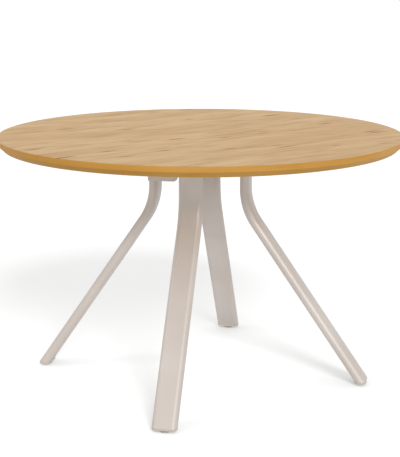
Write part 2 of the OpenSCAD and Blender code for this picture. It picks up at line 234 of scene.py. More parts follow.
def stretch(tree, place, along, across, deep=1.0):
    """The place scaled unlike along, across and through the grain."""
    return put(tree, "ShaderNodeMapping", {"Vector": place, "Scale": (along, across, deep)})[0]


def xyz(tree, x, y, z):
    """A vector from three values."""
    return put(tree, "ShaderNodeCombineXYZ", {0: x, 1: y, 2: z})[0]


def noise(tree, place, scale, detail=2.0):
    """Soft random values from 0 to 1."""
    spread = {"Vector": place, "Scale": scale, "Detail": detail}
    return put(tree, "ShaderNodeTexNoise", spread)[0]


def cells(tree, place, scale=1.0):
    """Random cells: a point's distance from its cell's middle, and the colour the cell draws."""
    return put(tree, "ShaderNodeTexVoronoi", {"Vector": place, "Scale": scale})


def mix_tints(tree, factor, first, second):
    """Mixes two colours by a factor. Each is another mix, or a colour as it is seen on a screen."""
    first, second = [tint(*one) if isinstance(one, tuple) else one for one in (first, second)]
    return put(tree, "ShaderNodeMix", {0: factor, 6: first, 7: second}, data_type="RGBA")[2]


def new_group(name, inputs, outputs, kind="Shader", gives="Float"):
    """A node group with named outputs and inputs: each input a plain value, or its kind and value."""
    group = bpy.data.node_groups.new(name, kind + "NodeTree")
    for label, given in inputs.items():
        socket, value = given if isinstance(given, tuple) else ("Float", given)
        made = group.interface.new_socket(label, in_out="INPUT", socket_type="NodeSocket" + socket)
        if value is not None:
            made.default_value = value
    for label in outputs:
        group.interface.new_socket(label, in_out="OUTPUT", socket_type="NodeSocket" + gives)
    return group, group.nodes.new("NodeGroupInput").outputs, group.nodes.new("NodeGroupOutput").inputs


def own_place(tree):
    """The place of a point in its object's own coordinates, in metres."""
    return put(tree, "ShaderNodeTexCoord")["Object"]


def use(tree, group, **inputs):
    """The outputs of a node group from its named inputs."""
    inputs = {label.replace("_", " "): value for label, value in inputs.items()}
    return put(tree, "ShaderNodeGroup", inputs, node_tree=group)


def new_finish(name, **constants):
    """A material, its tree and its shader, with the shader's constants set."""
    finish = bpy.data.materials.new(name)
    finish.use_nodes = True
    shader = finish.node_tree.nodes["Principled BSDF"]
    for label, value in constants.items():
        shader.inputs[label.replace("_", " ")].default_value = value
    return finish, finish.node_tree, shader.inputs


def wire(tree, shader, tone, rough, height, relief):
    """Links a tone, a roughness and a height, which stands out by a relief in metres, to a shader."""
    tree.links.new(tone, shader["Base Color"])
    if rough is not None:
        tree.links.new(rough, shader["Roughness"])
    normal = put(tree, "ShaderNodeBump", {"Height": height, "Distance": relief, "Strength": 1.0})[0]
    tree.links.new(normal, shader["Normal"])


wood, wood_in, wood_out = new_group(
    "wood_figure",
    {"Place": ("Vector", None), "Wander": 0.012, "Fleck Share": 0.11},
    ("Band", "Streak", "Fleck", "Pore"),
)
wander = noise(wood, stretch(wood, wood_in["Place"], 1.1, 3.0), 1.0)
wander = calc(wood, "*", calc(wood, "-", wander, 0.5), wood_in["Wander"])
wander = xyz(wood, 0.0, wander, 0.0)
flow = put(wood, "ShaderNodeVectorMath", {0: wood_in["Place"], 1: wander}, operation="ADD")[0]
wood.links.new(noise(wood, stretch(wood, flow, 1.8, 12.0), 1.0), wood_out["Band"])
coarse = noise(wood, stretch(wood, flow, 6.0, 46.0), 1.0, 3.0)
middle = noise(wood, stretch(wood, flow, 9.0, 140.0), 1.0, 3.0)
fine = noise(wood, stretch(wood, flow, 14.0, 480.0), 1.0, 3.0)
streak = calc(wood, "MULTIPLY_ADD", fine, 0.25, calc(wood, "*", coarse, 0.45))
streak = calc(wood, "MULTIPLY_ADD", middle, 0.30, streak)
wood.links.new(streak, wood_out["Streak"])
flecks = cells(wood, stretch(wood, flow, 7.0, 40.0, 0.0))
draw = put(wood, "ShaderNodeSeparateColor", {0: flecks["Color"]})
chosen = fade(wood, draw[0], calc(wood, "*", wood_in["Fleck Share"], 3.0), wood_in["Fleck Share"])
reach = calc(wood, "MULTIPLY_ADD", draw[1], 0.28, 0.18)
fleck = fade(wood, calc(wood, "/", flecks["Distance"], reach), 1.0, 0.25)
wood.links.new(calc(wood, "*", fleck, chosen), wood_out["Fleck"])
pores = cells(wood, stretch(wood, flow, 90.0, 1300.0))
wood.links.new(fade(wood, pores["Distance"], 0.30, 0.12), wood_out["Pore"])

oak, oak_tree, oak_shader = new_finish("oak_laminate", Specular_IOR_Level=0.25)
oak_place = {"Vector": own_place(oak_tree), "Rotation": (0, 0, -GRAIN_TURN)}
oak_place = put(oak_tree, "ShaderNodeMapping", oak_place)[0]
oak_grain = use(oak_tree, wood, Place=oak_place)
oak_bands = fade(oak_tree, oak_grain["Band"], 0.36, 0.66)
oak_lines = fade(oak_tree, oak_grain["Streak"], 0.46, 0.64, 0.0, 0.62)
oak_pores = calc(oak_tree, "*", oak_grain["Pore"], 0.22)
oak_flecks = calc(oak_tree, "*", oak_grain["Fleck"], 0.95)
oak_tone = mix_tints(oak_tree, oak_bands, OAK_PALE, OAK_MAIN)
oak_tone = mix_tints(oak_tree, oak_lines, oak_tone, OAK_DARK)
oak_tone = mix_tints(oak_tree, oak_pores, oak_tone, OAK_FLECK)
oak_tone = mix_tints(oak_tree, oak_flecks, oak_tone, OAK_FLECK)
oak_rough = fade(oak_tree, oak_grain["Streak"], 0.3, 0.7, 0.50, 0.60)
oak_height = calc(oak_tree, "*", oak_grain["Streak"], -0.5)
oak_height = calc(oak_tree, "MULTIPLY_ADD", oak_grain["Pore"], -1.0, oak_height)
wire(oak_tree, oak_shader, oak_tone, oak_rough, oak_height, relief=0.00004)


def circle(radius, z, steps, centre=(0, 0), shift=0):
    """A level ring of points, turned on by a share of a step."""
    turns = [math.tau * (step + shift) / steps for step in range(steps)]
    return [
        Vector((centre[0] + radius * math.cos(turn), centre[1] + radius * math.sin(turn), z))
        for turn in turns
    ]


def skin(name, rings, material, loop=False):
    """A closed mesh through rings of equal counts: capped at both ends, or joined in a loop."""
    count = len(rings[0])
    spans = len(rings) if loop else len(rings) - 1
    faces = []
    for row in range(spans):
        here = row * count
        above = (row + 1) % len(rings) * count
        for step in range(count):
            after = (step + 1) % count
            faces.append((here + step, here + after, above + after, above + step))
    if not loop:
        last = (len(rings) - 1) * count
        faces.append(tuple(reversed(range(count))))
        faces.append(tuple(range(last, last + count)))
    return make_object(name, [point for ring in rings for point in ring], [], faces, material)


def soften(outline, reach, closed=False, steps=3):
    """An outline with its corners cut back by a reach and rounded."""
    made = []
    for index, corner in enumerate(outline):
        if not closed and index in (0, len(outline) - 1):
            made.append(Vector(corner))
            continue
        corner = Vector(corner)
        back = Vector(outline[index - 1]) - corner
        ahead = Vector(outline[(index + 1) % len(outline)]) - corner
        start = corner + back * min(reach / back.length, 0.45)
        end = corner + ahead * min(reach / ahead.length, 0.45)
        for step in range(steps + 1):
            share = step / steps
            made.append(start.lerp(corner, share).lerp(corner.lerp(end, share), share))
    return made


def lathe(name, outline, steps, material, loop=False, centre=(0, 0)):
    """A turned shape from an outline of radius and height."""
    return skin(name, [circle(radius, z, steps, centre) for radius, z in outline], material, loop)


def keep_result(piece):
    """Turns what a piece's modifiers give into its plain mesh, and removes them."""
    graph = bpy.context.evaluated_depsgraph_get()
    mesh = bpy.data.meshes.new_from_object(piece.evaluated_get(graph), depsgraph=graph)
    piece.modifiers.clear()
    piece.data = mesh


def shade(piece, sharp=30):
    """Smooth shading that keeps sharp edges and lets the large faces stay even."""
    piece.data.shade_smooth()
    piece.data.set_sharp_from_angle(angle=math.radians(sharp))
    even = piece.modifiers.new("even_faces", "WEIGHTED_NORMAL")
    even.keep_sharp = True
    keep_result(piece)


def install(piece, slot, *stands_for, body="table"):
    """Shades a finished piece, puts it on its body and hides the nodes that it stands for. The slot is
    not used.
    """
    shade(piece)
    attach(piece, body)
    if stands_for:
        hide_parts(*stands_for)


def disc(name, low, high, radius, material):
    """A round sheet between two heights, its edges eased."""
    outline = [(DISC_MIDDLE, low), (radius, low), (radius, high), (DISC_MIDDLE, high)]
    return lathe(name, soften(outline, EDGE_EASE), TOP_STEPS, material)


surface = disc("top_surface", top_low.z, top_high.z, round_of(top_low, top_high), oak)
install(surface, "oak_laminate", "top_laminate")

# Edge. A solid lipping ring, stained honey and lacquered, glued round the core: upright above and
# bevelled below, its corners eased with a fine sander. The bevel is a little less glossy.
LIPPING_EASE = 0.0012
HONEY_MAIN = (199, 146, 63)
HONEY_PALE = (209, 157, 75)
HONEY_DARK = (179, 124, 49)
BEVEL_HEIGHT = 0.0142
GLOSS_BELOW = 0.002
GLOSS_ABOVE = 0.001
lip_low, lip_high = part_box("top_lipping")
back_low, back_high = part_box("top_backing")
core_low, core_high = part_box("top_core")
lip_radius = round_of(lip_low, lip_high)
lip_foot = round_of(back_low, back_high)
core_radius = round_of(core_low, core_high)
bevel_top = lip_low.z + BEVEL_HEIGHT

honey, honey_tree, honey_shader = new_finish("honey_lipping")
honey_xyz = put(honey_tree, "ShaderNodeSeparateXYZ", {0: own_place(honey_tree)})
honey_round = calc(honey_tree, "ARCTAN2", honey_xyz["Y"], honey_xyz["X"])
honey_along = calc(honey_tree, "*", honey_round, lip_radius)
honey_place = xyz(honey_tree, honey_along, honey_xyz["Z"], 0.0)
honey_grain = use(honey_tree, wood, Place=honey_place, Wander=0.004)
honey_bands = fade(honey_tree, honey_grain["Band"], 0.35, 0.65)
honey_lines = fade(honey_tree, honey_grain["Streak"], 0.45, 0.70, 0.0, 0.40)
honey_tone = mix_tints(honey_tree, honey_bands, HONEY_PALE, HONEY_MAIN)
honey_tone = mix_tints(honey_tree, honey_lines, honey_tone, HONEY_DARK)
honey_rough = fade(honey_tree, honey_grain["Streak"], 0.3, 0.7, 0.50, 0.60)
wire(honey_tree, honey_shader, honey_tone, honey_rough, honey_grain["Streak"], relief=0.00003)
honey_gloss = fade(
    honey_tree, honey_xyz["Z"], bevel_top - GLOSS_BELOW, bevel_top + GLOSS_ABOVE, 0.20, 0.25)
honey_tree.links.new(honey_gloss, honey_shader["Specular IOR Level"])

lipping_outline = [
    (core_radius, lip_low.z),
    (lip_foot, lip_low.z),
    (lip_radius, bevel_top),
    (lip_radius, lip_high.z),
    (core_radius, lip_high.z),
]
lipping = lathe("edge_lipping", soften(lipping_outline, LIPPING_EASE, True), TOP_STEPS, honey, loop=True)
install(lipping, "honey_lipping", "top_lipping")

# Underside of the top. A balancing sheet of pale paper laminate keeps the board flat. The board
# itself is chipboard and shows only where it is drilled for the brass inserts.
backing, backing_tree, backing_shader = new_finish(
    "backing_sheet", Roughness=0.62, Specular_IOR_Level=0.3)
backing_at = own_place(backing_tree)
backing_cloud = noise(backing_tree, backing_at, 14.0, 3.0)
backing_fibre = noise(backing_tree, stretch(backing_tree, backing_at, 160.0, 900.0), 1.0, 2.0)
backing_tone = mix_tints(backing_tree, backing_cloud, (204, 174, 132), (214, 186, 146))
backing_mark = fade(backing_tree, backing_fibre, 0.55, 0.80, 0.0, 0.35)
backing_tone = mix_tints(backing_tree, backing_mark, backing_tone, (184, 150, 106))
wire(backing_tree, backing_shader, backing_tone, None, backing_fibre, relief=0.00003)

underside = disc("top_underside", back_low.z, back_high.z, lip_foot, backing)
install(underside, "backing_sheet", "top_backing")

board, board_tree, board_shader = new_finish("core_board", Roughness=0.8)
board_place = stretch(board_tree, own_place(board_tree), 1.0, 1.0, 3.0)
board_chips = cells(board_tree, board_place, 260.0)
board_draw = put(board_tree, "ShaderNodeSeparateColor", {0: board_chips["Color"]})[0]
board_tone = mix_tints(board_tree, board_draw, (168, 138, 98), (206, 178, 134))
wire(board_tree, board_shader, board_tone, None, board_chips["Distance"], relief=0.0003)


def refinish(material, *names):
    """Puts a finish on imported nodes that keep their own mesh."""
    for name in names:
        mesh = cad[name].data
        mesh.materials.clear()
        mesh.materials.append(material)
        mesh.polygons.foreach_set("material_index", [0] * len(mesh.polygons))


refinish(board, "top_core")

# Paint. Legs and under-frame are powder coated in a satin, slightly metallic warm grey: a fine
# orange-peel skin, tiny tone changes and faint pale specks.
GREIGE = (213, 205, 199)
GREIGE_DEEP = (208, 199, 192)

peel, peel_in, peel_out = new_group(
    "moulded_skin",
    {"Place": ("Vector", None), "Peel Size": 0.0018, "Cloud Size": 0.15},
    ("Height", "Cloud", "Speck"),
)
peel_fine = noise(peel, peel_in["Place"], calc(peel, "/", 1.0, peel_in["Peel Size"]), 2.0)
peel_grit = noise(peel, peel_in["Place"], calc(peel, "/", 5.0, peel_in["Peel Size"]), 1.0)
peel_cloud = noise(peel, peel_in["Place"], calc(peel, "/", 1.0, peel_in["Cloud Size"]), 3.0)
peel.links.new(calc(peel, "MULTIPLY_ADD", peel_grit, 0.08, peel_fine), peel_out["Height"])
peel.links.new(peel_cloud, peel_out["Cloud"])
peel.links.new(fade(peel, peel_grit, 0.62, 0.80), peel_out["Speck"])


def skin_finish(name, first, second, rough, peel_size, relief, speck=0.0, speck_tint=None, **constants):
    """A painted or moulded finish: two close tones, a fine skin, its gloss and maybe specks."""
    finish, tree, shader = new_finish(name, **constants)
    surface_of = use(tree, peel, Place=own_place(tree), Peel_Size=peel_size)
    tone = mix_tints(tree, fade(tree, surface_of["Cloud"], 0.35, 0.65), first, second)
    if speck_tint:
        share = calc(tree, "*", surface_of["Speck"], speck)
        tone = mix_tints(tree, share, tone, speck_tint)
    gloss = fade(tree, surface_of["Cloud"], 0.3, 0.7, *rough)
    wire(tree, shader, tone, gloss, surface_of["Height"], relief)
    return finish


paint = skin_finish(
    "greige_paint", GREIGE, GREIGE_DEEP, rough=(0.42, 0.47), peel_size=0.0022, relief=0.000022,
    speck=0.25, speck_tint=(224, 216, 209), Specular_IOR_Level=0.5, Metallic=0.3)

# Under-frame. Rectangular steel tubes cross under the top, welded at the middle on a square plate,
# and painted as one piece with the leg plates. Plastic caps close the four open ends.
SIDES = {"right": 0, "back": 90, "left": 180, "front": 270}
STEEL_EASE = 0.0005
SAME_PLACE = 0.000001
FLAT_TURN = math.radians(1)
SHARP_TURN = math.radians(40)
CAP_CORNER = 0.003
CAP_EASE = 0.0009
CAP_PLUG_INSET = 0.0045
CAP_PLUG_CORNER = 0.001
cap_plastic = skin_finish(
    "cap_plastic", (70, 68, 66), (78, 76, 73), rough=(0.45, 0.55), peel_size=0.0006, relief=0.00004,
    Specular_IOR_Level=0.4)


def corner_ring(x, wide, high, radius, middle, steps=5):
    """A ring of points round a rectangle with round corners that stands across X."""
    ring = []
    for quarter, (side, up) in enumerate(((1, 1), (-1, 1), (-1, -1), (1, -1))):
        for step in range(steps + 1):
            turn = math.radians(90) * (quarter + step / steps)
            across = side * (wide / 2 - radius) + radius * math.cos(turn)
            rise = up * (high / 2 - radius) + radius * math.sin(turn)
            ring.append(Vector((x, across, middle + rise)))
    return ring


def turned(rings, degrees):
    """Rings turned about the table's axis."""
    turn = Matrix.Rotation(math.radians(degrees), 3, "Z")
    return [[turn @ point for point in ring] for ring in rings]


def finish_shape(name, shape, material):
    """Turns an edited shape into an object, its faces outward."""
    bmesh.ops.recalc_face_normals(shape, faces=shape.faces)
    made = make_object(name, [], [], [], material)
    shape.to_mesh(made.data)
    shape.free()
    return made


def ease(name, node):
    """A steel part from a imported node's shape, with its sharp edges eased."""
    shape = bmesh.new()
    shape.from_mesh(cad[node].data)
    bmesh.ops.remove_doubles(shape, verts=shape.verts, dist=SAME_PLACE)
    bmesh.ops.dissolve_limit(shape, angle_limit=FLAT_TURN, verts=shape.verts, edges=shape.edges)
    sharp = [edge for edge in shape.edges if edge.calc_face_angle(0) > SHARP_TURN]
    bmesh.ops.bevel(shape, geom=sharp, offset=STEEL_EASE, segments=2, profile=0.5, affect="EDGES")
    return finish_shape(name, shape, paint)


for node in ("crossbar_long", "crossbar_front", "crossbar_back", "centre_plate"):
    install(ease("painted_" + node, node), "greige_paint", node)
for side in SIDES:
    plate = "leg_plate_" + side
    install(ease("head_plate_" + side, plate), "greige_paint", plate)

cap_low, cap_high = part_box("cap_right")
bar_low, bar_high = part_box("crossbar_long")
cap_wide = cap_high.y - cap_low.y
cap_tall = cap_high.z - cap_low.z
cap_middle = (cap_high.z + cap_low.z) / 2
CAP_LAYERS = (
    (cap_low.x, CAP_PLUG_INSET),
    (bar_high.x, CAP_PLUG_INSET),
    (bar_high.x, CAP_EASE / 2),
    (bar_high.x + CAP_EASE / 2, 0.0),
    (cap_high.x - CAP_EASE, 0.0),
    (cap_high.x - CAP_EASE / 3, CAP_EASE / 3),
    (cap_high.x, CAP_EASE),
)
for side, degrees in SIDES.items():
    cap_rings = []
    for x, inset in CAP_LAYERS:
        corner = max(CAP_CORNER - inset, CAP_PLUG_CORNER)
        wide = cap_wide - 2 * inset
        cap_rings.append(corner_ring(x, wide, cap_tall - 2 * inset, corner, cap_middle))
    cap = skin("bar_cap_" + side, turned(cap_rings, degrees), cap_plastic)
    install(cap, "cap_plastic", "cap_" + side)

# Legs. Each is one flat-oval steel tube: an upright head, one bend and a straight lower leg cut level
# at the foot. It is swept along its bent axis, bored hollow, and painted with its welds.
TUBE_THICK = 0.029
TUBE_WIDE = 0.072
TUBE_WALL = 0.002
HEAD_LENGTH = 0.093
BEND_RADIUS = 0.187
SPLAY = math.radians(34.5)
BEND_STEPS = 36
OVAL_STEPS = 14
BORE_SPARE = 0.002
NEARLY_HALF = 0.4999
leg_low, leg_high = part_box("leg_right")
plate_low, plate_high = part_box("leg_plate_right")
head_radius = (plate_low.x + plate_high.x) / 2


def shape_tree(name, inputs):
    """A geometry tree with a Geometry input and output, a Material and other named inputs."""
    inputs = {"Geometry": ("Geometry", None), **inputs, "Material": ("Material", None)}
    return new_group(name, inputs, ("Geometry",), "Geometry", "Geometry")


def form(tree, kind, inputs=None, **settings):
    """Adds a geometry node and gives its first output."""
    return put(tree, "GeometryNode" + kind, inputs, **settings)[0]


def end_tree(tree, given, shown, geometry):
    """Ends a geometry tree with a plain mesh in its material."""
    real = form(tree, "RealizeInstances", {"Geometry": geometry})
    real = form(tree, "SetMaterial", {"Geometry": real, "Material": given["Material"]})
    tree.links.new(real, shown["Geometry"])


BEND = {
    "Head Radius": 0.0, "Head Top": 0.0, "Head Length": 0.0, "Bend Radius": 0.1, "Splay": 0.0,
    "Foot Height": 0.0, "Thick": 0.01, "Wide": 0.02,
}
bar, bar_in, bar_out = new_group(
    "bent_bar", {**BEND, "Run": 0.0}, ("Mesh",), "Geometry", "Geometry")
bar_index = form(bar, "InputIndex")
bar_down = calc(bar, "*", calc(bar, "MINIMUM", bar_index, 1.0), bar_in["Head Length"])
bar_share = calc(bar, "/", calc(bar, "-", bar_index, 1.0), float(BEND_STEPS), clamp=True)
bar_angle = calc(bar, "*", bar_share, bar_in["Splay"])
bar_past = calc(bar, "MAXIMUM", calc(bar, "-", bar_index, BEND_STEPS + 1.0), 0.0)
bar_past = calc(bar, "*", bar_past, bar_in["Run"])
bar_sine = calc(bar, "SINE", bar_in["Splay"])
bar_cosine = calc(bar, "COSINE", bar_in["Splay"])
bar_bow = calc(bar, "-", 1.0, calc(bar, "COSINE", bar_angle))
bar_bow = calc(bar, "*", bar_bow, bar_in["Bend Radius"])
bar_x = calc(bar, "+", bar_in["Head Radius"], calc(bar, "MULTIPLY_ADD", bar_past, bar_sine, bar_bow))
bar_drop = calc(bar, "MULTIPLY_ADD", calc(bar, "SINE", bar_angle), bar_in["Bend Radius"], bar_down)
bar_drop = calc(bar, "MULTIPLY_ADD", bar_past, bar_cosine, bar_drop)
bar_z = calc(bar, "-", bar_in["Head Top"], bar_drop)
bar_axis = form(bar, "MeshLine", {"Count": BEND_STEPS + 3})
bar_axis = form(bar, "SetPosition", {"Geometry": bar_axis, "Position": xyz(bar, bar_x, 0.0, bar_z)})
bar_axis = form(bar, "MeshToCurve", {"Mesh": bar_axis})
bar_axis = form(bar, "SetCurveNormal", {"Curve": bar_axis, "Normal": (0, 1, 0)}, mode="FREE")
bar_oval = {"Width": bar_in["Wide"], "Height": bar_in["Thick"]}
bar_oval = form(bar, "CurvePrimitiveQuadrilateral", bar_oval)
bar_round = calc(bar, "*", bar_in["Thick"], NEARLY_HALF)
bar_oval = {"Curve": bar_oval, "Count": OVAL_STEPS, "Radius": bar_round}
bar_oval = form(bar, "FilletCurve", bar_oval, mode="POLY")
bar_mesh = form(bar, "CurveToMesh", {"Curve": bar_axis, "Profile Curve": bar_oval, "Fill Caps": True})
bar_height = put(bar, "ShaderNodeSeparateXYZ", {0: form(bar, "InputPosition")})["Z"]
bar_short = calc(bar, "-", bar_in["Foot Height"], bar_height)
bar_slip = calc(bar, "MAXIMUM", calc(bar, "/", bar_short, bar_cosine), 0.0)
bar_slip_x = calc(bar, "*", bar_slip, calc(bar, "*", bar_sine, -1.0))
bar_slip = xyz(bar, bar_slip_x, 0.0, calc(bar, "*", bar_slip, bar_cosine))
bar.links.new(form(bar, "SetPosition", {"Geometry": bar_mesh, "Offset": bar_slip}), bar_out["Mesh"])

tube, tube_in, tube_out = shape_tree("bent_tube", {**BEND, "Wall": 0.001, "Turn": 0.0})
tube_drop = calc(tube, "*", calc(tube, "SINE", tube_in["Splay"]), tube_in["Bend Radius"])
tube_fall = calc(tube, "-", tube_in["Head Top"], tube_in["Head Length"])
tube_fall = calc(tube, "-", calc(tube, "-", tube_fall, tube_drop), tube_in["Foot Height"])
tube_run = calc(tube, "/", tube_fall, calc(tube, "COSINE", tube_in["Splay"]))
tube_run = calc(tube, "+", tube_run, tube_in["Thick"])
tube_outer = {**{label: tube_in[label] for label in BEND}, "Run": tube_run}
tube_walls = calc(tube, "*", tube_in["Wall"], 2.0)
tube_inner = {
    **tube_outer,
    "Head Top": calc(tube, "+", tube_in["Head Top"], BORE_SPARE),
    "Head Length": calc(tube, "+", tube_in["Head Length"], BORE_SPARE),
    "Foot Height": calc(tube, "-", tube_in["Foot Height"], BORE_SPARE),
    "Thick": calc(tube, "-", tube_in["Thick"], tube_walls),
    "Wide": calc(tube, "-", tube_in["Wide"], tube_walls),
    "Run": calc(tube, "+", tube_run, BORE_SPARE),
}
tube_full = form(tube, "Group", tube_outer, node_tree=bar)
tube_bore = form(tube, "Group", tube_inner, node_tree=bar)
tube_bored = {"Mesh 1": tube_full, "Mesh 2": tube_bore}
tube_bored = form(tube, "MeshBoolean", tube_bored, operation="DIFFERENCE", solver="EXACT")
tube_turn = xyz(tube, 0.0, 0.0, tube_in["Turn"])
tube_set = form(tube, "Transform", {"Geometry": tube_bored, "Rotation": tube_turn})
end_tree(tube, tube_in, tube_out, tube_set)


def grow(piece, tree, **inputs):
    """Runs a geometry tree on a piece with its named inputs, and keeps the result as a plain mesh."""
    modifier = piece.modifiers.new(tree.name, "NODES")
    modifier.node_group = tree
    for socket in tree.interface.items_tree:
        label = socket.name.replace(" ", "_")
        if socket.in_out == "INPUT" and label in inputs:
            modifier[socket.identifier] = inputs[label]
    keep_result(piece)


for side, degrees in SIDES.items():
    leg = make_object("leg_tube_" + side, [(0, 0, 0)], [], [])
    grow(
        leg, tube, Head_Radius=head_radius, Head_Top=leg_high.z, Head_Length=HEAD_LENGTH,
        Bend_Radius=BEND_RADIUS, Splay=SPLAY, Foot_Height=leg_low.z, Thick=TUBE_THICK, Wide=TUBE_WIDE,
        Wall=TUBE_WALL, Turn=math.radians(degrees), Material=paint)
    install(leg, "greige_paint", "leg_" + side)

# Leg end plugs. Moulded plastic in the leg's colour, pushed into the cut foot of each tube. A rim
# stands below the tube, with a fine seam between them, round a moulded-in brass bush.
RIM_EASE = 0.0009
SEAM_DEPTH = 0.0004
PLUG_GAP = 0.0021
BORE_GAP = 0.0004
BORE_OVER = 0.001
BUSH_GAP = 0.0001
BUSH_CHAMFER = 0.0004
FACE_GAP = 0.00002
STUD_RADIUS = 0.004
plug_low, plug_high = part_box("plug_right")
bush_low, bush_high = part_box("plug_bushes")
stud_low, stud_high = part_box("stud_right")
pad_low, pad_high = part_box("pad_right")
glide_radius = (pad_low.x + pad_high.x) / 2
bush_radius = (bush_high.x - bush_low.x) / 2 - glide_radius
plug_plastic = skin_finish(
    "plug_plastic", (211, 202, 194), (205, 196, 187), rough=(0.42, 0.50), peel_size=0.0007,
    relief=0.00004, Specular_IOR_Level=0.45)


def oval_ring(z, inset):
    """The cut foot's outline at a height, drawn in by an inset: upright below the cut, slanted above."""
    thick = TUBE_THICK / 2 - inset
    straight = (TUBE_WIDE - TUBE_THICK) / 2
    centre = glide_radius - max(z - leg_low.z, 0.0) * math.tan(SPLAY)
    ring = []
    for half in (0, 1):
        for step in range(OVAL_STEPS * 2 + 1):
            turn = math.pi * (half + step / (OVAL_STEPS * 2))
            across = straight * (1 - 2 * half) + thick * math.sin(turn)
            ring.append(Vector((centre + thick * math.cos(turn) / math.cos(SPLAY), across, z)))
    return ring


PLUG_LAYERS = (
    (plug_low.z, RIM_EASE),
    (plug_low.z + RIM_EASE * 0.3, RIM_EASE * 0.3),
    (plug_low.z + RIM_EASE, 0.0),
    (leg_low.z - SEAM_DEPTH * 1.5, 0.0),
    (leg_low.z - SEAM_DEPTH, SEAM_DEPTH),
    (leg_low.z - FACE_GAP, SEAM_DEPTH),
    (leg_low.z - FACE_GAP, PLUG_GAP),
    (plug_high.z, PLUG_GAP),
)
BORE_LAYERS = (
    (stud_high.z + BORE_OVER, STUD_RADIUS + BORE_GAP),
    (bush_high.z, STUD_RADIUS + BORE_GAP),
    (bush_high.z, bush_radius + BUSH_GAP),
    (plug_low.z + BUSH_CHAMFER, bush_radius + BUSH_GAP),
    (plug_low.z, bush_radius + BUSH_GAP + BUSH_CHAMFER),
)
bore_steps = 2 * (OVAL_STEPS * 2 + 1)
for side, degrees in SIDES.items():
    plug_rings = [circle(radius, z, bore_steps, (glide_radius, 0), 0.5) for z, radius in BORE_LAYERS]
    plug_rings += [oval_ring(z, inset) for z, inset in PLUG_LAYERS]
    plug = skin("leg_plug_" + side, turned(plug_rings, degrees), plug_plastic)
    install(plug, "plug_plastic", "plug_" + side)

brass, brass_tree, brass_shader = new_finish("insert_brass", Metallic=1.0)
brass_skin = use(brass_tree, peel, Place=own_place(brass_tree), Peel_Size=0.0008)
brass_tone = mix_tints(brass_tree, brass_skin["Cloud"], (196, 164, 96), (218, 188, 122))
brass_rough = fade(brass_tree, brass_skin["Cloud"], 0.3, 0.7, 0.26, 0.40)
wire(brass_tree, brass_shader, brass_tone, brass_rough, brass_skin["Height"], relief=0.00002)
refinish(brass, "plug_bushes", "top_inserts")

# Levelling glides. A zinc-plated steel stud with a rolled right-hand thread screws in the bush, and
# its flat head swivels in a moulded pad. Stud and pad move apart from the table.
THREAD_PITCH = 0.00125
THREAD_DEPTH = 0.00062
THREAD_STEPS = 24
PAD_EASE = 0.0008
PAD_FLOOR = 0.0014
SWIVEL_GAP = 0.0003
HEAD_TOP = 0.0035
TIP_MIDDLE = 0.0003
TIP_CHAMFER = 0.0006
STUD_EASE = 0.0004
STUD_STEPS = 32
PAD_STEPS = 48
head_wide = (stud_high.x - stud_low.x) / 2

zinc, zinc_tree, zinc_shader = new_finish("zinc_steel", Metallic=1.0)
zinc_at = own_place(zinc_tree)
zinc_skin = use(zinc_tree, peel, Place=zinc_at, Peel_Size=0.0009)
zinc_pick = cells(zinc_tree, zinc_at, 900.0)["Color"]
zinc_pick = put(zinc_tree, "ShaderNodeSeparateColor", {0: zinc_pick})[0]
zinc_tone = mix_tints(zinc_tree, zinc_pick, (186, 188, 190), (206, 208, 212))
zinc_haze = fade(zinc_tree, zinc_skin["Cloud"], 0.55, 0.75, 0.0, 0.4)
zinc_tone = mix_tints(zinc_tree, zinc_haze, zinc_tone, (176, 170, 150))
zinc_rough = fade(zinc_tree, zinc_pick, 0.0, 1.0, 0.28, 0.42)
wire(zinc_tree, zinc_shader, zinc_tone, zinc_rough, zinc_skin["Height"], relief=0.00002)

pad_plastic = skin_finish(
    "pad_plastic", (190, 181, 172), (182, 173, 164), rough=(0.50, 0.58), peel_size=0.0006,
    relief=0.00005, Specular_IOR_Level=0.4)

thread, thread_in, thread_out = shape_tree("screw_thread", {
    "Radius": 0.004, "Pitch": 0.001, "Turns": 10.0, "Depth": 0.0005, "Place": ("Vector", None)})
thread_height = calc(thread, "*", thread_in["Pitch"], thread_in["Turns"])
thread_root = calc(thread, "-", thread_in["Radius"], thread_in["Depth"])
thread_path = form(thread, "CurveSpiral", {
    "Resolution": THREAD_STEPS, "Rotations": thread_in["Turns"], "Start Radius": thread_root,
    "End Radius": thread_root, "Height": thread_height,
})
thread_wire = form(
    thread, "CurvePrimitiveCircle", {"Resolution": 4, "Radius": thread_in["Depth"]}, mode="RADIUS")
thread_ridge = form(
    thread, "CurveToMesh", {"Curve": thread_path, "Profile Curve": thread_wire, "Fill Caps": True})
thread_ridge = form(thread, "Transform", {"Geometry": thread_ridge, "Translation": thread_in["Place"]})
thread_all = form(thread, "JoinGeometry")
thread.links.new(thread_in["Geometry"], thread_all.node.inputs[0])
thread.links.new(thread_ridge, thread_all.node.inputs[0])
end_tree(thread, thread_in, thread_out, thread_all)

